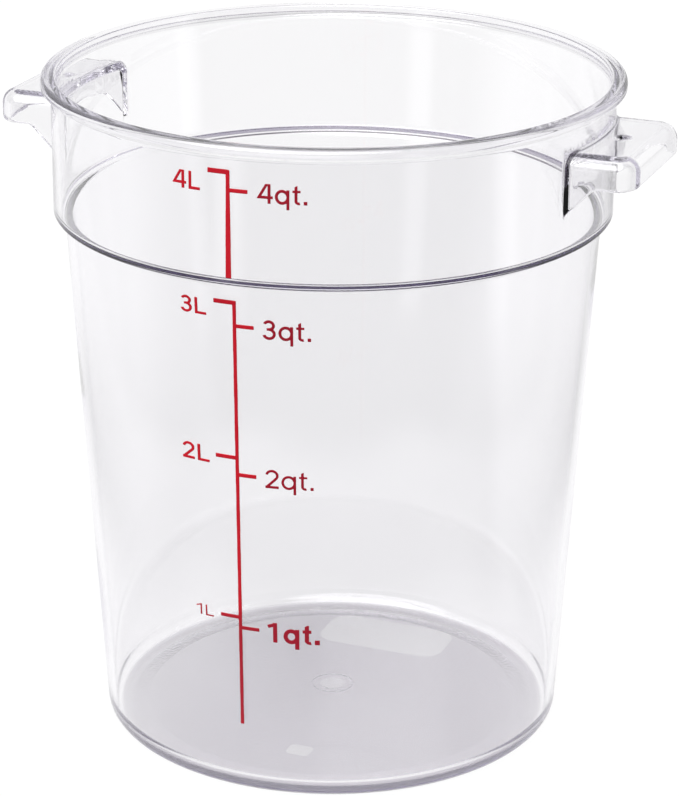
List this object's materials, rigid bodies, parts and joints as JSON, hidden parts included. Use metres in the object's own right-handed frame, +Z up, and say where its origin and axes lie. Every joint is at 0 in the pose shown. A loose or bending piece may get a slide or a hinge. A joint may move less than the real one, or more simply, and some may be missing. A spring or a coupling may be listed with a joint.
{
  "type": "food storage container",
  "caption": "Round clear food storage container with a flared rim, a stepped collar, hollow side handles open below, a tapered wall and a printed fill scale; it holds and measures food.",
  "frame": {"origin": "The middle of the underside, on the surface that the container stands on", "axes": "+Z runs up the turned axis and is the longest extent; +X runs from the middle out through one handle, so the handles lie at +X and -X; -Y faces the printed fill scale and Y is the shortest extent"},
  "size_m": [0.2106, 0.182, 0.215],
  "materials": {
    "clear_plastic": "clear, polished, with a frosted patch under the floor",
    "scale_ink_upper": "printed ink, satin",
    "scale_ink_lower": "printed ink, satin"
  },
  "bodies": {
    "root": {"container_body": "clear_plastic", "scale_print_upper": "scale_ink_upper", "scale_print_lower": "scale_ink_lower"}
  },
  "joints": []
}
